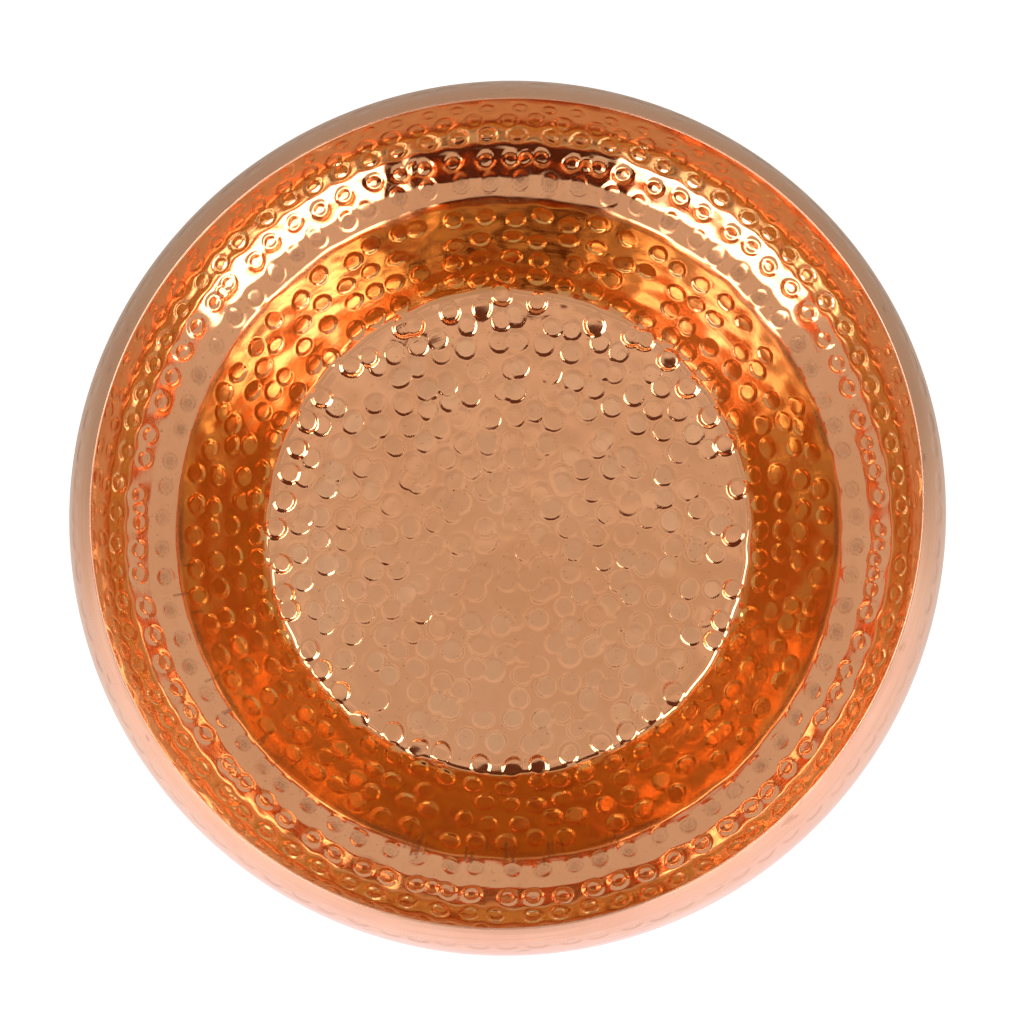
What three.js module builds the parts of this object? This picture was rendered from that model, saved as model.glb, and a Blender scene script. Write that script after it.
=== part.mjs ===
// A deep round hammered copper tray with an in-curved rim, raised from one disc of sheet.
// Millimetres, +Z up. The origin is the centre of the flat base, on the surface that it rests on.

import * as THREE from 'three';

// Driving dimensions

const sheetThickness = 1.2;
const segmentsAround = 72;
const bendPerFacet = 6; // the most degrees that the wall turns from one facet to the next

// The middle line of the sheet, from the centre of the base out to the lip. Each stretch bends
// evenly from the slope where the stretch before it ends to its own, in degrees above horizontal.
// A slope of 90 is the widest line, and past it the wall leans in over the inside.
const stretches = [
  { name: 'flat base', length: 122, endSlope: 0 },
  { name: 'heel', length: 11, endSlope: 44 },
  { name: 'flared wall', length: 54, endSlope: 46 },
  { name: 'crease', length: 3, endSlope: 38 },
  { name: 'shallow band', length: 28, endSlope: 41 },
  { name: 'knuckle above the band', length: 4, endSlope: 48 },
  { name: 'lower belly', length: 7, endSlope: 52 },
  { name: 'bend in the belly', length: 8, endSlope: 66 },
  { name: 'belly', length: 15, endSlope: 74 },
  { name: 'upper belly, to the widest line', length: 26, endSlope: 90 },
  { name: 'in-curved rim, to the lip', length: 40, endSlope: 135 },
];

const copper = new THREE.MeshStandardMaterial({ color: 0xcb8a5f, roughness: 0.22, metalness: 1 });

// Stations along the middle line, each with its radius, height and slope.
function walkMiddleLine() {
  const station = { radius: 0, height: sheetThickness / 2, slope: 0 };
  const line = [{ ...station }];
  for (const { length, endSlope } of stretches) {
    const bend = endSlope - station.slope;
    const facets = Math.max(1, Math.ceil(Math.abs(bend) / bendPerFacet));
    for (let facet = 0; facet < facets; facet += 1) {
      const chordSlope = THREE.MathUtils.degToRad(station.slope + bend / facets / 2);
      station.radius += (length / facets) * Math.cos(chordSlope);
      station.height += (length / facets) * Math.sin(chordSlope);
      station.slope += bend / facets;
      line.push({ ...station });
    }
  }
  return line;
}

// The point on one face of the sheet: a positive offset is towards the inside of the tray.
function facePoint(station, offset) {
  const slope = THREE.MathUtils.degToRad(station.slope);
  return new THREE.Vector2(
    Math.max(0, station.radius - offset * Math.sin(slope)),
    station.height + offset * Math.cos(slope),
  );
}

// The closed section of the sheet, up the outer face to the lip and back down the inner face.
function sheetSection() {
  const line = walkMiddleLine();
  const outerFace = line.map((station) => facePoint(station, -sheetThickness / 2));
  const innerFace = line.map((station) => facePoint(station, sheetThickness / 2));
  return [...outerFace, ...innerFace.reverse()];
}

function makeShell() {
  const geometry = new THREE.LatheGeometry(sheetSection(), segmentsAround);
  geometry.rotateX(Math.PI / 2); // the lathe turns about Y, and the tray stands on +Z
  const shell = new THREE.Mesh(geometry, copper);
  shell.name = 'tray_shell';
  return shell;
}

const tray = new THREE.Group();
tray.add(makeShell());

export default tray;
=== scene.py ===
"""The looks of a deep round hammered copper tray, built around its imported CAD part.

The sheet follows the CAD part's middle line. Every punch mark pushes both of its faces by the same
amount, so a hollow inside is a bump outside. The sheet is then lifted to stand on its lowest bump.
Lengths are in millimetres until the meshes are made.
"""

import math

import bpy
import numpy as np
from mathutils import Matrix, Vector


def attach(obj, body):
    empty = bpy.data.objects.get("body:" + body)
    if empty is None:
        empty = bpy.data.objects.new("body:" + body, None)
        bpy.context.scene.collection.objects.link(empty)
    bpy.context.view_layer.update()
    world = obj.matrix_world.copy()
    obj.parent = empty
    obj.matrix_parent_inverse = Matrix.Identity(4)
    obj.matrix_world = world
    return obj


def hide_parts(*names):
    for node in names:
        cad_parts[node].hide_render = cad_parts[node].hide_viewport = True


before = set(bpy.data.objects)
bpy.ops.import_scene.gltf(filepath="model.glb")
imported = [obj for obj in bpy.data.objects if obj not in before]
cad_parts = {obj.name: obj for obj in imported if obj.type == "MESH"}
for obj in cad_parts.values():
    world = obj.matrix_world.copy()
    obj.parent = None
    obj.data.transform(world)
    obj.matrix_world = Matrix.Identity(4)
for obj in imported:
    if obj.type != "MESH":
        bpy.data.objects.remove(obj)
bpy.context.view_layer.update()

MM = 0.001
SHEET = 1.2

# The middle line of the sheet from the centre of the base to the lip, as in the CAD part: each
# stretch has a length and the slope in degrees that it ends with.
STRETCHES = (
    (122, 0),  # flat base
    (11, 44),  # heel
    (54, 46),  # flared wall
    (3, 38),  # crease
    (28, 41),  # shallow band
    (4, 48),  # knuckle above the band
    (7, 52),  # lower belly
    (8, 66),  # bend in the belly
    (15, 74),  # belly
    (26, 90),  # upper belly, to the widest line
    (40, 135),  # in-curved rim, to the lip
)
BASE_EDGE = 122.0
HEEL_END = 133.0
CREASE = 188.5
KNUCKLE = 220.0
WIDEST = 278.0
LIP = 318.0
EDGE_ROUND = 0.6  # half the sheet: the lip's cut edge is rounded over

COLUMNS = 1024
TURN = 2 * math.pi / COLUMNS
BAND_FROM = 193.0  # the zones are cut here, in the band above the crease,
RIM_FROM = 264.0  # and here, below the widest line
INNER_STEP = 0.95  # row spacing below the rim
RIM_STEP = 1.2  # row spacing on the rim
PUNCH_RIM = 0.03  # height of the metal raised round a flat hollow

rng = np.random.default_rng(11)


# ---------------------------------------------------------------- the smooth sheet


def walk_middle_line(step=0.05):
    """Arc length, radius, height and slope along the middle line, in fine steps."""
    arc, radius, height, slope = [0.0], [0.0], [SHEET / 2], [0.0]
    start_slope = 0.0
    for length, end_slope in STRETCHES:
        count = round(length / step)
        for i in range(count):
            middle = math.radians(start_slope + (end_slope - start_slope) * (i + 0.5) / count)
            arc.append(arc[-1] + length / count)
            radius.append(radius[-1] + math.cos(middle) * length / count)
            height.append(height[-1] + math.sin(middle) * length / count)
            slope.append(math.radians(start_slope + (end_slope - start_slope) * (i + 1) / count))
        start_slope = end_slope
    return np.array(arc), np.array(radius), np.array(height), np.array(slope)


ARC, RADIUS, HEIGHT, SLOPE = walk_middle_line()


def radius_at(s):
    return np.interp(s, ARC, RADIUS)


def height_at(s):
    return np.interp(s, ARC, HEIGHT)


def slope_at(s):
    return np.interp(s, ARC, SLOPE)


def smooth(x, low, high):
    """0 below low, 1 above high, and a smooth step between."""
    t = np.clip((x - low) / (high - low), 0, 1)
    return t * t * (3 - 2 * t)


stations = np.concatenate([
    np.linspace(0, RIM_FROM, round(RIM_FROM / INNER_STEP) + 1),
    np.linspace(RIM_FROM, LIP - EDGE_ROUND, round((LIP - RIM_FROM) / RIM_STEP) + 1)[1:],
])
azimuths = np.arange(COLUMNS) * TURN
grime = np.zeros((len(stations), COLUMNS))  # 0 clean, 1 dark with old polish and tarnish, and with painted shade at the floor hollows and rim ovals
pale = np.zeros((len(stations), COLUMNS))  # how much paler a struck hollow of the floor is


def worked_corners():
    """The heel and the band before the marks: a sharper heel, and a band with a shallow bend in it.

    The bend differs a little from place to place: it is steepest at the back and next at the front.
    """
    sharper_heel = -0.6 * np.exp(-(((stations - 127.5) / 2.6) ** 2))
    back = np.cos(azimuths)
    steeper = 0.018 + 0.037 * smooth(back, 0.5, 0.9) + 0.014 * smooth(-back, 0.3, 0.9)
    falling = np.interp(stations, (190, 204, 219, 226), (0, -0.75, -0.75, 0))
    rising = np.interp(stations, (204, 219, 226), (0, 15, 0))
    return (sharper_heel + falling)[:, None] + rising[:, None] * steeper[None]


relief = worked_corners()  # how far the sheet is pushed towards the inside


def crease_shift(s, azimuth):
    """How far the crease and the knuckle stray along the wall: the worked bands are not quite level."""
    whole = smooth(s, 150, 184) * (1 - smooth(s, 224, 254))
    crease_only = smooth(s, 150, 184) * (1 - smooth(s, 194, 212))
    back = np.cos(azimuth)
    return -2.4 * whole * back - 1.9 * crease_only * back * (1 + back)


# ---------------------------------------------------------------- hammer and punch marks


def patch_around(s, azimuth, reach):
    """The rows and columns near a point, with their distances along and across the wall."""
    rows = np.flatnonzero(np.abs(stations - s) <= reach)
    half = int(reach / max(float(radius_at(s)), 1.0) / TURN) + 2
    middle = round(azimuth / TURN)
    if 2 * half + 1 >= COLUMNS or s < reach:
        columns = np.arange(COLUMNS)
    else:
        columns = np.arange(middle - half, middle + half + 1)
    turned = columns * TURN - azimuth
    if s < BASE_EDGE - reach:
        along = stations[rows][:, None] * np.cos(turned)[None] - s
        across = stations[rows][:, None] * np.sin(turned)[None]
    else:
        along = (stations[rows] - s)[:, None] + 0 * turned[None]
        across = radius_at(stations[rows])[:, None] * turned[None]
    return np.ix_(rows, columns % COLUMNS), rows, along, across


def flat_facet(s, rows):
    """How far a plane that touches the sheet at s lies inside it, for each row."""
    slope = float(slope_at(s))
    d_radius = radius_at(stations[rows]) - float(radius_at(s))
    d_height = height_at(stations[rows]) - float(height_at(s))
    rise = -d_radius * math.sin(slope) + d_height * math.cos(slope)
    return -rise[:, None] / np.cos(slope_at(stations[rows]) - slope)[:, None]


def strike_flat(s, azimuth, radius, edge, depth, lean=(0.0, 0.0), stretch=0.0, swell=0.0, tone=None):
    """A flat-faced punch struck from the inside: a flat floor with a short steep side.

    A mark with a tone is also painted: its floor is paler by that much, and a thin dark line of painted
    shade is laid along one side of its edge, on the outer side at the back and the inner side at the front.
    """
    index, rows, along, across = patch_around(s, azimuth, radius + edge + 3 + 3 * (swell > 0))
    q = np.hypot(along * (1 + stretch), across * (1 - stretch))
    patch = relief[index]
    level = patch[q < radius].mean()
    floor = level - depth + flat_facet(s, rows) + lean[0] * along + lean[1] * across
    inside = 1 - smooth(q, radius, radius + edge)
    raised = PUNCH_RIM * np.exp(-(((q - radius - edge - 0.5) / 0.8) ** 2))
    around = swell * np.exp(-((q / (radius + 2.5)) ** 2))
    relief[index] = patch * (1 - inside) + floor * inside + raised - around
    if tone is not None:
        pale[index] = pale[index] * (1 - inside) + tone * inside
        # Painted shade: a thin dark line along one side of the hollow's edge, kept with the tarnish.
        painted_edge_shade = 0.30 * np.exp(-(((q - radius - edge / 2) / 0.5) ** 2))
        painted_edge_shade *= smooth(along * math.cos(azimuth), -3, 3)
        grime[index] = np.maximum(grime[index], painted_edge_shade * rng.uniform(0.3, 1.0))


def strike_ring(s, azimuth, bump, height, hollow, depth, lean=(0.0, 0.0), dirt_and_shade=0.0, dome=0.0, outline=0.0):
    """A ring punch struck from the outside: a low dome, a bump on it and a small hollow in the middle."""
    index, rows, along, across = patch_around(s, azimuth, bump + 5)
    q = np.hypot(along, across)
    swell = height * (1 - smooth(q, hollow * 0.95, bump))
    dip = (depth + lean[0] * along + lean[1] * across) * (1 - smooth(q, hollow * 0.52, hollow * 1.05))
    relief[index] += swell - dip + dome * (1 - smooth(q, 2.0, bump + 4))
    if dirt_and_shade:
        grime[index] = np.maximum(grime[index], dirt_and_shade * (1 - smooth(q, hollow * 0.3, hollow * 0.9)))
    if outline:
        grime[index] = np.maximum(grime[index], outline * np.exp(-(((q - hollow * 0.85) / 0.55) ** 2)))


def hammer_floor():
    """Rough rings of flat hollows, faint and crowded in the middle, crisper towards the heel.

    The last ring, beside the heel, is struck deeper on its outer side.
    """
    pitch = 12.1
    rings = 10
    missed = 0.05
    for ring in range(rings):
        radius = 2.5 + ring * pitch
        spacing = 11.5 + 2.5 * smooth(radius, 30, 105)
        count = max(1, round(2 * math.pi * radius / spacing))
        start = rng.uniform(0, 2 * math.pi)
        crisp = float(smooth(radius, 25, 105))
        for i in range(count):
            if rng.random() < missed:
                continue
            wander = 2.6 - 1.4 * crisp
            s = max(0.5, radius + rng.normal(0, wander))
            azimuth = start + (i + rng.normal(0, 0.17)) / count * 2 * math.pi
            last = (ring == rings - 1) * (1 - 0.6 * float(smooth(-math.cos(azimuth), 0.3, 0.8)))
            tilt = rng.normal(0, 0.009, 2) - (0.010 * last, 0)
            strike_flat(
                s, azimuth, rng.uniform(4.2, 4.8), rng.uniform(1.3, 2.0) - 0.3 * last,
                rng.uniform(0.06, 0.11) + 0.06 * crisp + 0.04 * last,
                lean=tilt, stretch=rng.normal(0, 0.04), tone=rng.uniform(0.0, 0.22) + 0.12 * crisp,
            )


def hammer_heel():
    """One row of flat hollows at the foot of the wall: level with the floor, but tilted at the front."""
    count = 48
    missed = 0.08
    for i in range(count):
        if rng.random() < missed:
            continue
        azimuth = (i + rng.normal(0, 0.18)) / count * 2 * math.pi
        front = float(smooth(-math.cos(azimuth), 0.25, 0.75))
        s = 121.8 + 1.6 * front + rng.normal(0, 1.5)
        levelled = -math.tan(float(slope_at(s))) * (1 - front)
        strike_flat(
            s, azimuth, rng.uniform(4.1, 4.7), rng.uniform(1.3, 1.9),
            0.46 - 0.24 * front + rng.uniform(-0.08, 0.08),
            lean=(levelled + rng.normal(0, 0.012), rng.normal(0, 0.012)), swell=0.3,
        )


def hammer_flared_wall():
    """Four staggered rows up the flared wall, each given by its arc and its count."""
    rows = ((136.3, 56), (150.0, 60), (163.0, 63), (176.5, 66))
    missed = 0.03
    for number, (arc, count) in enumerate(rows):
        lowest = number == 0
        start = rng.uniform(0, 2 * math.pi)
        for i in range(count):
            if rng.random() < missed:
                continue
            s = arc + rng.normal(0, 1.3)
            azimuth = start + (i + 0.5 * (number % 2) + rng.normal(0, 0.13)) / count * 2 * math.pi
            s -= float(crease_shift(s, azimuth))
            strike_flat(
                s, azimuth, rng.uniform(3.9, 4.4), rng.uniform(0.9, 1.4),
                rng.uniform(0.17, 0.31) + 0.12 * lowest,
                lean=rng.normal(0, 0.022, 2), stretch=rng.normal(0, 0.04),
                swell=rng.uniform(0.05, 0.16) + 0.3 * lowest,
            )


def ring_row(arc, count, bump, height, hollow, depth, wander, dirt_and_shade=0.0, doubles=0.0, dome=0.0, outline=0.0):
    """One row of ring marks right round the wall. Some are struck twice, side by side."""
    beside_by = 7.4
    start = rng.uniform(0, 2 * math.pi)
    for i in range(count):
        s = arc + wander * math.sin(2.0 * math.pi * i / count * 3 + arc) + rng.normal(0, 0.6)
        azimuth = start + (i + rng.normal(0, 0.08)) / count * 2 * math.pi
        s -= float(crease_shift(s, azimuth))
        strong = rng.uniform(0.75, 1.2)
        lean = rng.normal(0, 0.02, 2)
        strike_ring(s, azimuth, bump * rng.uniform(0.95, 1.05), height * strong, hollow, depth * strong,
                    lean=lean, dirt_and_shade=dirt_and_shade * rng.uniform(0.3, 1.0), dome=dome * strong,
                    outline=outline * rng.uniform(0.4, 1.0))
        if rng.random() < doubles:
            beside = azimuth + beside_by / float(radius_at(s))
            strike_ring(s + rng.normal(0, 0.5), beside, bump * 0.85, height * 0.6, hollow, depth * 0.8,
                        lean=-lean, dirt_and_shade=dirt_and_shade)


def hammer_band_and_belly():
    """Five rows of ring marks, from above the crease to under the in-curved rim."""
    ring_row(196.5, 71, 6.4, 0.13, 4.6, 0.18, 0.6, dirt_and_shade=0.6, dome=0.05, outline=0.55)
    ring_row(211.5, 80, 5.7, 0.29, 3.9, 0.30, 0.6, dirt_and_shade=0.2, doubles=0.10, dome=0.10, outline=0.20)
    ring_row(225.5, 80, 5.5, 0.26, 4.1, 0.32, 0.5, doubles=0.05, dome=0.22, outline=0.30)
    ring_row(236.5, 86, 5.2, 0.18, 4.1, 0.28, 0.5, dome=0.10, outline=0.45)
    ring_row(247.0, 84, 5.2, 0.15, 4.1, 0.25, 0.5, dome=0.08, outline=0.45)


def hammer_rim():
    """One row of shallow oval marks outside the rim, struck from the outside.

    A dark crescent of painted shade lies along the lower edge of each.
    """
    count = 88
    arc = 302.5
    half_up, half_round = 3.3, 4.9
    for i in range(count):
        azimuth = (i + rng.normal(0, 0.12)) / count * 2 * math.pi
        s = arc + rng.normal(0, 0.5)
        index, rows, along, across = patch_around(s, azimuth, 9)
        q = np.hypot(along / half_up, across / half_round)
        relief[index] += rng.uniform(0.18, 0.34) * (1 - smooth(q, 0.55, 1.25))
        # Painted shade: a dark crescent along the lower edge of each oval.
        shade = rng.uniform(0.4, 1.0) * np.exp(-(((q - 0.95) / 0.22) ** 2)) * smooth(-along, -1.5, 2.5)
        grime[index] = np.maximum(grime[index], shade)


def scratch_crease():
    """Short dark scratches down the wall under the crease, most of them at the front."""
    scratches = 34
    for _ in range(scratches):
        azimuth = math.pi + rng.normal(0, 0.22) + rng.choice((0, 0.75, 1.2), p=(0.7, 0.15, 0.15))
        s = rng.uniform(177, 189)
        length = rng.uniform(2.5, 6)
        rows = np.flatnonzero(np.abs(stations - s) < length)
        column = round(azimuth / TURN) % COLUMNS
        grime[rows, column] = np.maximum(grime[rows, column], rng.uniform(0.7, 1.0))


def waves(points, wavelength, count, seed):
    """Smooth noise with no seam: a sum of waves in random directions, about -1 to 1."""
    own = np.random.default_rng(seed)
    total = np.zeros(points.shape[:-1])
    for _ in range(count):
        direction = own.normal(0, 1, 3)
        direction *= 2 * math.pi / (wavelength * own.uniform(0.7, 1.5) * np.linalg.norm(direction))
        total += np.sin(points @ direction + own.uniform(0, 2 * math.pi))
    return total / math.sqrt(count)


def smooth_points(s_grid):
    """Points of the middle line at arc s and each column's azimuth."""
    radius = radius_at(s_grid)
    return np.stack([radius * np.sin(azimuths), radius * np.cos(azimuths), height_at(s_grid)], -1)


# ---------------------------------------------------------------- the worked sheet

hammer_floor()
hammer_heel()
hammer_flared_wall()
hammer_band_and_belly()
hammer_rim()
scratch_crease()

s_grid = np.repeat(stations[:, None], COLUMNS, 1)
resting = smooth_points(s_grid)
on_wall = smooth(s_grid, BASE_EDGE - 6, BASE_EDGE + 20)
relief += 0.10 * waves(resting, 42, 14, 3) * (1 - on_wall)
relief += 0.16 * waves(resting, 34, 14, 4) * on_wall * (1 - smooth(s_grid, 270, 282))
relief += 0.05 * waves(resting, 14, 14, 5) * (1 - smooth(s_grid, 220, 245))
at_centre = 1 - smooth(s_grid, 1, 6)
relief = relief * (1 - at_centre) + relief[:6].mean() * at_centre

# The heel, the crease and the knuckle wander a little up and down the wall.
crease_window = smooth(s_grid, 165, 185) * (1 - smooth(s_grid, 222, 245))
at_crease = np.searchsorted(stations, CREASE)
wander = (0.9 * waves(resting, 95, 8, 6) + 0.5 * waves(resting, 17, 12, 10))[at_crease][None]
heel_window = smooth(s_grid, 106, 121) * (1 - smooth(s_grid, 134, 150))
heel_wander = 1.3 * waves(resting, 26, 12, 9)[np.searchsorted(stations, HEEL_END)][None]
s_worked = s_grid + crease_window * wander + heel_window * heel_wander + crease_shift(s_grid, azimuths[None])

# The lip is slightly oval and out of true.
oval_window = smooth(s_grid, 254, LIP)
oval = 1.9 * np.sin(2 * azimuths) + 0.55 * np.cos(3 * azimuths - 3.0) + 1.0 * np.cos(azimuths + 0.9)
lip_sway = 0.5 * np.sin(3 * azimuths + 0.6) + 0.3 * np.sin(5 * azimuths + 2)

middle_radius = radius_at(s_worked) + oval_window * oval[None]
middle_height = height_at(s_worked) + oval_window * lip_sway[None]
middle_slope = slope_at(s_worked)


def face_points(offset):
    """Points of the sheet at a distance from its middle: a positive offset is the inner face."""
    push = relief + offset
    radius = middle_radius - push * np.sin(middle_slope)
    height = middle_height + push * np.cos(middle_slope)
    return np.stack([radius * np.sin(azimuths), radius * np.cos(azimuths), height], -1)


def face_normals(points, towards_inside):
    """Normals of a face, from its neighbours along the wall and around it."""
    along = np.gradient(points, axis=0)
    around = np.roll(points, -1, 1) - np.roll(points, 1, 1)
    normals = np.cross(around, along)
    normals /= np.maximum(np.linalg.norm(normals, axis=-1, keepdims=True), 1e-12)
    normals[0] = (0, 0, 1)
    return normals if towards_inside else -normals


inner = face_points(SHEET / 2)
outer = face_points(-SHEET / 2)

# The sheet stands on its lowest bump, a mark at the heel, so its floor is about 1.2 mm above the CAD's.
lift = -outer[..., 2].min()
inner[..., 2] += lift
outer[..., 2] += lift
inner_normals = face_normals(inner, True)
outer_normals = face_normals(outer, False)

# Old polish and tarnish gather under the crease.
crease_dirt = np.exp(-(((s_worked - 186.2) / 1.8) ** 2)) * smooth(waves(resting, 30, 10, 8), -1.0, 0.6)
grime = np.maximum(grime, crease_dirt)

# Where the sheet's colour is deeper, 1 on the flared wall, or paler, down to -1 on the belly. The deep wall
# and the pale belly are painted reflection: the tint the copper shows after several reflections between its
# walls. The deep colour is held back in two places towards the back of the wall, where it mirrors the low
# softboxes. That is painted light: it stays put when the vessel is turned or the lights are changed. The
# struck hollows of the floor are paler as well.
wall_reflection_tint = smooth(s_worked, BASE_EDGE + 3, HEEL_END) * (1 - smooth(s_worked, CREASE - 2, CREASE + 1))
belly_reflection_tint = smooth(s_worked, KNUCKLE - 4, KNUCKLE + 3)
from_back = np.abs((azimuths + math.pi) % (2 * math.pi) - math.pi)
to_lights = np.exp(-(((from_back - 0.80) / 0.36) ** 2))
deeper = wall_reflection_tint * (1 - 0.75 * to_lights) - belly_reflection_tint - pale * (1 - on_wall)


# ---------------------------------------------------------------- meshes


WIDEST_STRIDE = COLUMNS // 16
LEAST_SPACING = 0.48


def column_stride(s):
    """How many columns apart the vertices are: wider apart near the centre."""
    stride = 1
    while radius_at(s) * TURN * stride < LEAST_SPACING and stride < WIDEST_STRIDE:
        stride *= 2
    return stride


class Mesh:
    """Vertices, normals, tarnish with painted shade, depth of colour with painted reflection, and faces of
    one piece, gathered ring by ring.
    """

    def __init__(self):
        self.points, self.normals, self.grime, self.deeper = [], [], [], []
        self.faces, self.kinds = [], []
        self.count = 0

    def ring(self, points, normals, dirt_and_shade, tint_with_painted_reflection):
        start = self.count
        self.points.append(points)
        self.normals.append(normals)
        self.grime.append(dirt_and_shade)
        self.deeper.append(tint_with_painted_reflection)
        self.count += len(points)
        return np.arange(start, self.count)

    def add(self, faces, kind):
        """faces: rows of vertex numbers, with -1 in the last place of a triangle."""
        self.faces.append(np.asarray(faces))
        self.kinds.append(np.full(len(faces), kind))

    def join(self, low, high, kind, flip):
        """Faces between two rings. The ring with twice the vertices of the other is split evenly."""
        quads = []
        if len(low) == len(high):
            low_next, high_next = np.roll(low, -1), np.roll(high, -1)
            quads.append(np.stack([low, low_next, high_next, high], 1))
        elif len(high) == 2 * len(low):
            even, odd, even_next = high[0::2], high[1::2], np.roll(high[0::2], -1)
            low_next = np.roll(low, -1)
            none = np.full(len(low), -1)
            quads.append(np.stack([low, odd, even, none], 1))
            quads.append(np.stack([low, low_next, odd, none], 1))
            quads.append(np.stack([low_next, even_next, odd, none], 1))
        else:
            self.join(high, low, kind, not flip)
            return
        for block in quads:
            self.add(flip_faces(block) if flip else block, kind)

    def cap(self, ring, centre, kind, flip):
        """A fan from a ring to one centre vertex."""
        faces = np.stack([np.full(len(ring), centre), np.roll(ring, -1), ring, np.full(len(ring), -1)], 1)
        self.add(flip_faces(faces) if flip else faces, kind)


def flip_faces(faces):
    """The same faces seen from the other side."""
    out = faces.copy()
    triangle = faces[:, 3] < 0
    out[triangle] = faces[triangle][:, [0, 2, 1, 3]]
    out[~triangle] = faces[~triangle][:, ::-1]
    return out


def make_object(name, mesh, materials):
    """A Blender object from a gathered mesh, with its own normals, tarnish with painted shade, and depth of
    colour with painted reflection.
    """
    points = np.concatenate(mesh.points) * MM
    normals = np.concatenate(mesh.normals)
    faces = np.concatenate(mesh.faces)
    kinds = np.concatenate(mesh.kinds)
    sizes = np.where(faces[:, 3] < 0, 3, 4)
    loops = faces.ravel()
    loops = loops[loops >= 0]
    data = bpy.data.meshes.new(name)
    data.vertices.add(len(points))
    data.vertices.foreach_set("co", points.astype(np.float32).ravel())
    data.loops.add(len(loops))
    data.loops.foreach_set("vertex_index", loops.astype(np.int32))
    data.polygons.add(len(faces))
    data.polygons.foreach_set("loop_start", np.concatenate([[0], np.cumsum(sizes)[:-1]]).astype(np.int32))
    for material in materials:
        data.materials.append(material)
    data.polygons.foreach_set("material_index", kinds.astype(np.int32))
    data.update(calc_edges=True)
    data.validate()
    data.polygons.foreach_set("use_smooth", np.ones(len(data.polygons), bool))
    data.normals_split_custom_set_from_vertices(normals.tolist())
    for name_of_layer, values in (("grime", mesh.grime), ("deeper", mesh.deeper)):
        layer = data.attributes.new(name_of_layer, "FLOAT", "POINT")
        layer.data.foreach_set("value", np.concatenate(values).astype(np.float32))
    piece = bpy.data.objects.new(name, data)
    bpy.context.scene.collection.objects.link(piece)
    return piece


INNER_FACE, OUTER_FACE = 0, 1


def pick(points, normals, row, stride):
    """What one ring of vertices needs, from every stride-th column of a row."""
    return points[row, ::stride], normals[row, ::stride], grime[row, ::stride], deeper[row, ::stride]


def face_rings(mesh, points, normals, rows, kind, flip, coarse):
    """One face of the sheet over some rows. Returns its first and last ring."""
    rings = []
    for row in rows:
        stride = column_stride(stations[row]) * (1 if row in (rows[0], rows[-1]) else coarse)
        stride = min(stride, WIDEST_STRIDE)
        if row == 0:
            centre = mesh.ring(points[0, :1], normals[0, :1], grime[0, :1], deeper[0, :1])
            rings.append(centre)
        else:
            rings.append(mesh.ring(*pick(points, normals, row, stride)))
    for low, high in zip(rings, rings[1:]):
        if len(low) == 1:
            mesh.cap(high, low[0], kind, flip)
        else:
            mesh.join(low, high, kind, flip)
    return rings[0], rings[-1]


def sheet_zone(name, first, last, materials, outer_step):
    """A closed ring (or disc) of the sheet, with both of its faces, between two rows."""
    mesh = Mesh()
    rows = list(range(first, last + 1))
    outer_rows = sorted(set(rows[::outer_step] + [rows[-1]]))
    inner_first, inner_last = face_rings(mesh, inner, inner_normals, rows, INNER_FACE, False, 1)
    outer_first, outer_last = face_rings(mesh, outer, outer_normals, outer_rows, OUTER_FACE, True, outer_step)
    if first > 0:
        mesh.join(inner_first, outer_first, OUTER_FACE, True)
    if last == len(stations) - 1:
        round_lip(mesh, inner_last, outer_last)
    else:
        mesh.join(inner_last, outer_last, OUTER_FACE, False)
    return make_object(name, mesh, materials)


def round_lip(mesh, inner_ring, outer_ring):
    """The lip's cut edge, rounded over from the inner face to the outer one."""
    middle = (inner[-1] + outer[-1]) / 2
    side = (inner[-1] - outer[-1]) / 2
    half = np.linalg.norm(side, axis=-1, keepdims=True)
    onward = inner[-1] - inner[-2] + outer[-1] - outer[-2]
    onward -= side * (onward * side).sum(-1, keepdims=True) / half**2
    onward /= np.linalg.norm(onward, axis=-1, keepdims=True)
    before = inner_ring
    for degrees in (30, 60, 90, 120, 150):
        turned = math.radians(degrees)
        direction = math.cos(turned) * side / half + math.sin(turned) * onward
        ring = mesh.ring(middle + direction * half, direction, grime[-1] * 0, deeper[-1])
        mesh.join(before, ring, OUTER_FACE, False)
        before = ring
    mesh.join(before, outer_ring, OUTER_FACE, False)


# ---------------------------------------------------------------- materials


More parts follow.
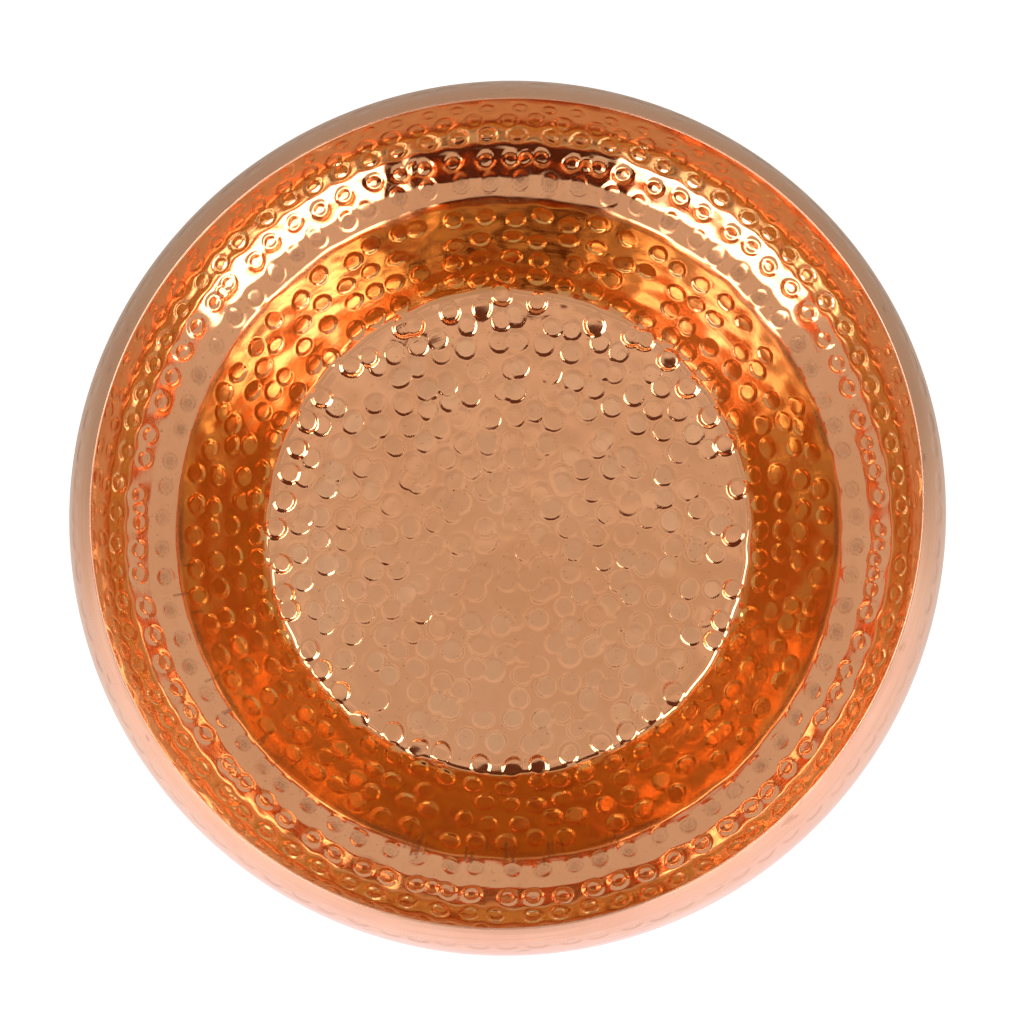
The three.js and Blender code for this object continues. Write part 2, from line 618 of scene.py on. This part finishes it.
class Shader:
    """Short calls for building one material's nodes."""

    def __init__(self, name):
        self.material = bpy.data.materials.new(name)
        self.material.use_nodes = True
        self.tree = self.material.node_tree
        self.surface = self.tree.nodes["Principled BSDF"]
        self.place = self.tree.nodes.new("ShaderNodeTexCoord").outputs["Object"]

    def link(self, value, socket):
        if isinstance(value, bpy.types.NodeSocket):
            self.tree.links.new(value, socket)
        else:
            socket.default_value = value

    def maths(self, operation, *values):
        node = self.tree.nodes.new("ShaderNodeMath")
        node.operation = operation
        for value, socket in zip(values, node.inputs):
            self.link(value, socket)
        return node.outputs[0]

    def noise(self, vector, scale, detail=3.0, rough=0.5):
        node = self.tree.nodes.new("ShaderNodeTexNoise")
        self.link(vector, node.inputs["Vector"])
        node.inputs["Scale"].default_value = scale
        node.inputs["Detail"].default_value = detail
        node.inputs["Roughness"].default_value = rough
        return node.outputs["Fac"]

    def spread(self, value, low, high, to_low=0.0, to_high=1.0):
        node = self.tree.nodes.new("ShaderNodeMapRange")
        node.interpolation_type = "SMOOTHSTEP"
        self.link(value, node.inputs["Value"])
        for socket, number in zip(("From Min", "From Max", "To Min", "To Max"), (low, high, to_low, to_high)):
            node.inputs[socket].default_value = number
        return node.outputs["Result"]

    def blend(self, amount, first, second):
        node = self.tree.nodes.new("ShaderNodeMix")
        node.data_type = "RGBA"
        self.link(amount, node.inputs["Factor"])
        self.link(first, node.inputs["A"])
        self.link(second, node.inputs["B"])
        return node.outputs["Result"]

    def vector(self, x, y, z):
        node = self.tree.nodes.new("ShaderNodeCombineXYZ")
        for value, socket in zip((x, y, z), node.inputs):
            self.link(value, socket)
        return node.outputs[0]

    def attribute(self, name):
        node = self.tree.nodes.new("ShaderNodeAttribute")
        node.attribute_name = name
        return node.outputs["Fac"]

    def bump(self, height, distance, strength):
        node = self.tree.nodes.new("ShaderNodeBump")
        node.inputs["Distance"].default_value = distance
        node.inputs["Strength"].default_value = strength
        self.link(height, node.inputs["Height"])
        return node.outputs["Normal"]

    def around_axis(self, fineness, drift):
        """Coordinates that run fast up the wall and slowly round it, for polishing lines."""
        split = self.tree.nodes.new("ShaderNodeSeparateXYZ")
        self.link(self.place, split.inputs[0])
        x, y, z = split.outputs
        x_squared = self.maths("MULTIPLY", x, x)
        y_squared = self.maths("MULTIPLY", y, y)
        radius = self.maths("SQRT", self.maths("ADD", x_squared, y_squared))
        up = self.maths("MULTIPLY", self.maths("ADD", radius, self.maths("MULTIPLY", z, 1.7)), fineness)
        return self.vector(self.maths("MULTIPLY", x, drift), self.maths("MULTIPLY", y, drift), up)


def tint(red, green, blue):
    return (red, green, blue, 1.0)


def bright_copper():
    """The hammered inside: bright, with faint polishing lines, tarnish in the marks, painted shade along the
    floor hollows and rim ovals, a painted reflection tint, and specks.
    """
    shader = Shader("hammered_copper")
    surface = shader.surface
    surface.inputs["Metallic"].default_value = 1.0
    patches = shader.noise(shader.place, 14.0, 5.0, 0.6)
    mottle = shader.noise(shader.place, 160.0, 4.0, 0.6)
    grain = shader.noise(shader.place, 1400.0, 2.0, 0.6)
    lines = shader.noise(shader.around_axis(900.0, 12.0), 1.0, 3.0, 0.7)
    # Tarnish and painted shade: old polish in the marks and crease, and dark lines of painted shade at the
    # floor hollows and rim ovals.
    dirt_and_shade = shader.attribute("grime")
    specks = shader.spread(shader.noise(shader.place, 620.0, 1.0, 0.4), 0.70, 0.76)
    rubbed = shader.spread(grain, 0.42, 0.62, 0.45, 1.0)
    grime_here = shader.maths("MULTIPLY", dirt_and_shade, rubbed)
    hazed = shader.blend(shader.spread(patches, 0.35, 0.65), tint(0.93, 0.44, 0.22), tint(0.89, 0.40, 0.19))
    # Painted reflection: the deep tint on the flared wall and the pale one on the belly stand for the
    # copper's colour after several reflections between its walls.
    deep = shader.blend(shader.spread(patches, 0.35, 0.65), tint(0.72, 0.31, 0.085), tint(0.66, 0.27, 0.07))
    tint_with_painted_reflection = shader.attribute("deeper")
    clean = shader.blend(shader.spread(tint_with_painted_reflection, 0.0, 1.0), hazed, deep)
    clean = shader.blend(shader.spread(tint_with_painted_reflection, 0.0, -1.0), clean, tint(0.91, 0.61, 0.37))
    clean = shader.blend(shader.spread(mottle, 0.45, 0.75, 0.0, 0.25), clean, tint(0.78, 0.34, 0.13))
    soiled_and_shaded = shader.blend(grime_here, clean, tint(0.20, 0.09, 0.055))
    shader.link(shader.blend(shader.maths("MULTIPLY", specks, 0.35), soiled_and_shaded, tint(0.25, 0.10, 0.05)),
                surface.inputs["Base Color"])
    rough = shader.spread(mottle, 0.3, 0.75, 0.05, 0.11)
    rough = shader.maths("ADD", rough, shader.maths("MULTIPLY", grime_here, 0.22))
    shader.link(rough, surface.inputs["Roughness"])
    fine = shader.maths("ADD", shader.maths("MULTIPLY", lines, 0.6), shader.maths("MULTIPLY", mottle, 0.8))
    shader.link(shader.bump(fine, 0.00004, 0.5), surface.inputs["Normal"])
    return shader.material


def brushed_copper():
    """The outside: satin, with fine polishing lines round it and a few darker touches."""
    shader = Shader("brushed_copper")
    surface = shader.surface
    surface.inputs["Metallic"].default_value = 1.0
    surface.inputs["Coat Weight"].default_value = 0.25
    surface.inputs["Coat Roughness"].default_value = 0.25
    patches = shader.noise(shader.place, 16.0, 5.0, 0.6)
    lines = shader.noise(shader.around_axis(1500.0, 9.0), 1.0, 3.0, 0.75)
    streaks = shader.noise(shader.around_axis(420.0, 16.0), 1.0, 3.0, 0.6)
    touches = shader.spread(shader.noise(shader.around_axis(190.0, 70.0), 1.0, 2.0, 0.5), 0.66, 0.76)
    clean = shader.blend(shader.spread(patches, 0.3, 0.7), tint(0.90, 0.48, 0.30), tint(0.85, 0.42, 0.26))
    clean = shader.blend(shader.spread(streaks, 0.42, 0.72, 0.0, 0.4), clean, tint(0.74, 0.38, 0.21))
    touched = shader.blend(shader.maths("MULTIPLY", touches, 0.45), clean, tint(0.45, 0.20, 0.11))
    # Painted shade: the dark crescents under the rim's ovals, with the same tarnish as inside, darken the
    # outside here.
    shaded = shader.maths("MULTIPLY", shader.attribute("grime"), 0.8)
    shader.link(shader.blend(shaded, touched, tint(0.50, 0.27, 0.19)), surface.inputs["Base Color"])
    shader.link(shader.spread(streaks, 0.3, 0.7, 0.20, 0.32), surface.inputs["Roughness"])
    shader.link(shader.bump(lines, 0.00005, 0.5), surface.inputs["Normal"])
    return shader.material


# ---------------------------------------------------------------- the pieces

hammered = bright_copper()
brushed = brushed_copper()


def row_at(s):
    return int(np.argmin(np.abs(stations - s)))


ZONES = (
    ("tray_floor", 0, row_at(BASE_EDGE)),
    ("tray_flared_wall", row_at(BASE_EDGE), row_at(BAND_FROM)),
    ("tray_band_and_belly", row_at(BAND_FROM), row_at(RIM_FROM)),
    ("tray_rim", row_at(RIM_FROM), len(stations) - 1),
)
for name, first, last in ZONES:
    outer_step = 1 if name == "tray_rim" else 2
    piece = sheet_zone(name, first, last, (hammered, brushed), outer_step)
    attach(piece, "root")
    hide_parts("tray_shell")
    triangles = sum(len(p.vertices) - 2 for p in piece.data.polygons)
    print("PIECE", name, "triangles", triangles)


# ---------------------------------------------------------------- floor, light and camera


FLOOR_SIZE = 8


def plain_material(name, colour, glow):
    material = bpy.data.materials.new(name)
    material.use_nodes = True
    surface = material.node_tree.nodes["Principled BSDF"]
    surface.inputs["Base Color"].default_value = tint(*colour)
    surface.inputs["Roughness"].default_value = 0.9
    surface.inputs["Specular IOR Level"].default_value = 0.1
    surface.inputs["Emission Color"].default_value = tint(1, 1, 1)
    surface.inputs["Emission Strength"].default_value = glow
    return material


def add_floor():
    """A plain pale floor, large enough for every view."""
    bpy.ops.mesh.primitive_plane_add(size=FLOOR_SIZE)
    floor = bpy.context.object
    floor.name = "studio_floor"
    floor.data.materials.append(plain_material("studio_floor", (0.9, 0.9, 0.9), 0.52))
    floor.visible_glossy = False


def show_to_mirrors_only(card):
    card.visible_camera = False
    card.visible_diffuse = False
    card.visible_shadow = False


def add_card(name, azimuth, elevation, distance, wide, high, colour, strength):
    """A card that only mirror reflections see: bright ones are softboxes, dark ones are flags."""
    turn, rise = math.radians(azimuth), math.radians(elevation)
    place = Vector((
        math.sin(turn) * math.cos(rise) * distance,
        math.cos(turn) * math.cos(rise) * distance,
        math.sin(rise) * distance,
    ))
    bpy.ops.mesh.primitive_plane_add(size=1, location=place)
    card = bpy.context.object
    card.name = name
    card.rotation_euler = place.to_track_quat("Z", "Y").to_euler()
    card.scale = (wide, high, 1)
    material = bpy.data.materials.new(name)
    material.use_nodes = True
    tree = material.node_tree
    tree.nodes.clear()
    glow = tree.nodes.new("ShaderNodeEmission")
    glow.inputs["Color"].default_value = tint(*colour)
    glow.inputs["Strength"].default_value = strength
    output = tree.nodes.new("ShaderNodeOutputMaterial")
    tree.links.new(glow.outputs[0], output.inputs["Surface"])
    card.data.materials.append(material)
    show_to_mirrors_only(card)


def add_table_card():
    """What the outside mirrors below the horizon: a table that is darker towards the back."""
    bpy.ops.mesh.primitive_plane_add(size=FLOOR_SIZE)
    card = bpy.context.object
    card.name = "table_card"
    material = bpy.data.materials.new("table_card")
    material.use_nodes = True
    tree = material.node_tree
    tree.nodes.clear()
    place = tree.nodes.new("ShaderNodeTexCoord")
    split = tree.nodes.new("ShaderNodeSeparateXYZ")
    ramp = tree.nodes.new("ShaderNodeMapRange")
    cooler = tree.nodes.new("ShaderNodeMapRange")
    colour = tree.nodes.new("ShaderNodeCombineColor")
    ramp.interpolation_type = "SMOOTHSTEP"
    for name, number in (("From Min", -0.30), ("From Max", 0.22), ("To Min", 1.15), ("To Max", 0.46)):
        ramp.inputs[name].default_value = number
    for name, number in (("From Min", -0.30), ("From Max", 0.10), ("To Min", 1.12), ("To Max", 0.90)):
        cooler.inputs[name].default_value = number
    colour.inputs["Red"].default_value = 0.97
    colour.inputs["Green"].default_value = 0.99
    glow = tree.nodes.new("ShaderNodeEmission")
    output = tree.nodes.new("ShaderNodeOutputMaterial")
    tree.links.new(split.outputs["Y"], cooler.inputs["Value"])
    tree.links.new(cooler.outputs["Result"], colour.inputs["Blue"])
    tree.links.new(colour.outputs["Color"], glow.inputs["Color"])
    tree.links.new(place.outputs["Object"], split.inputs[0])
    tree.links.new(split.outputs["Y"], ramp.inputs["Value"])
    tree.links.new(ramp.outputs["Result"], glow.inputs["Strength"])
    tree.links.new(glow.outputs[0], output.inputs["Surface"])
    card.data.materials.append(material)
    show_to_mirrors_only(card)


# How bright the room is, against the sine of the elevation: each step adds its second pair of values
# between its first pair. It is brightest a little off the zenith.
WORLD_STEPS = (
    (0.60, 0.90, 0.66, 0.58),
    (0.965, 0.985, 0.0, 0.19),
    (0.985, 1.0, 0.0, -0.16),
)

# Softboxes and flags: name, azimuth, elevation, distance, width, height, colour and strength.
WHITE = (1, 1, 1)
CARDS = (
    ("soft_left", 219, 18, 2.0, 1.22, 0.50, WHITE, 6),
    ("soft_right", 141, 18, 2.0, 1.22, 0.50, WHITE, 6),
    ("flag_low", 180, 18.2, 2.1, 1.57, 0.56, (0.08, 0.025, 0.015), 1),
    ("top_left", 306, 58, 2.0, 0.84, 0.76, WHITE, 6.5),
    ("top_right", 53, 58, 2.0, 0.78, 0.74, WHITE, 5.0),
    ("flag_high", 0, 58.5, 2.1, 1.24, 1.25, (0.12, 0.05, 0.03), 1),
)


def add_lights():
    """A white room with two low softboxes and two high ones, and dark flags between them."""
    world = bpy.data.worlds.new("studio")
    bpy.context.scene.world = world
    world.use_nodes = True
    tree = world.node_tree
    background = tree.nodes["Background"]
    background.inputs["Color"].default_value = tint(1.0, 0.985, 0.97)
    place = tree.nodes.new("ShaderNodeTexCoord")
    split = tree.nodes.new("ShaderNodeSeparateXYZ")
    tree.links.new(place.outputs["Generated"], split.inputs[0])
    steps = []
    for low, high, at_low, at_high in WORLD_STEPS:
        ramp = tree.nodes.new("ShaderNodeMapRange")
        ramp.interpolation_type = "SMOOTHSTEP"
        for name, number in zip(("From Min", "From Max", "To Min", "To Max"), (low, high, at_low, at_high)):
            ramp.inputs[name].default_value = number
        tree.links.new(split.outputs["Z"], ramp.inputs["Value"])
        steps.append(ramp.outputs["Result"])
    total = steps[0]
    for step in steps[1:]:
        add = tree.nodes.new("ShaderNodeMath")
        tree.links.new(total, add.inputs[0])
        tree.links.new(step, add.inputs[1])
        total = add.outputs[0]
    tree.links.new(total, background.inputs["Strength"])
    for card in CARDS:
        add_card(*card)
    add_table_card()
    overhead = bpy.data.lights.new("overhead", "AREA")
    overhead.shape = "DISK"
    overhead.size = 2.5
    overhead.energy = 14
    lamp = bpy.data.objects.new("overhead", overhead)
    lamp.location = (0, 0, 2.6)
    lamp.visible_glossy = False
    lamp.visible_camera = False
    bpy.context.scene.collection.objects.link(lamp)


def add_camera():
    """Almost straight above, leaning a little towards -Y."""
    widest_radius = RADIUS.max() + SHEET / 2
    widest_height = float(height_at(WIDEST))
    lip_height = float(height_at(LIP))
    lean = math.radians(4.2)  # from straight above
    above_lip = 1450.0
    frame_side = 1024
    distance = above_lip + lip_height - widest_height
    camera = bpy.data.objects.new("camera", bpy.data.cameras.new("camera"))
    bpy.context.scene.collection.objects.link(camera)
    camera.location = Vector((0, -math.sin(lean) * distance, widest_height + math.cos(lean) * distance)) * MM
    camera.rotation_euler = (lean, 0, 0)
    camera.data.sensor_width = 36
    silhouette = 437 / (frame_side / 2)  # how much of half the frame the vessel fills
    camera.data.lens = 18 * silhouette * distance / widest_radius
    camera.data.shift_x = 3.4 / frame_side
    camera.data.shift_y = 3.1 / frame_side
    bpy.context.scene.camera = camera


add_floor()
add_lights()
add_camera()
bpy.context.scene.view_settings.view_transform = "Standard"
bpy.context.scene.view_settings.look = "None"
bpy.context.scene.cycles.max_bounces = 12
bpy.context.scene.cycles.glossy_bounces = 10
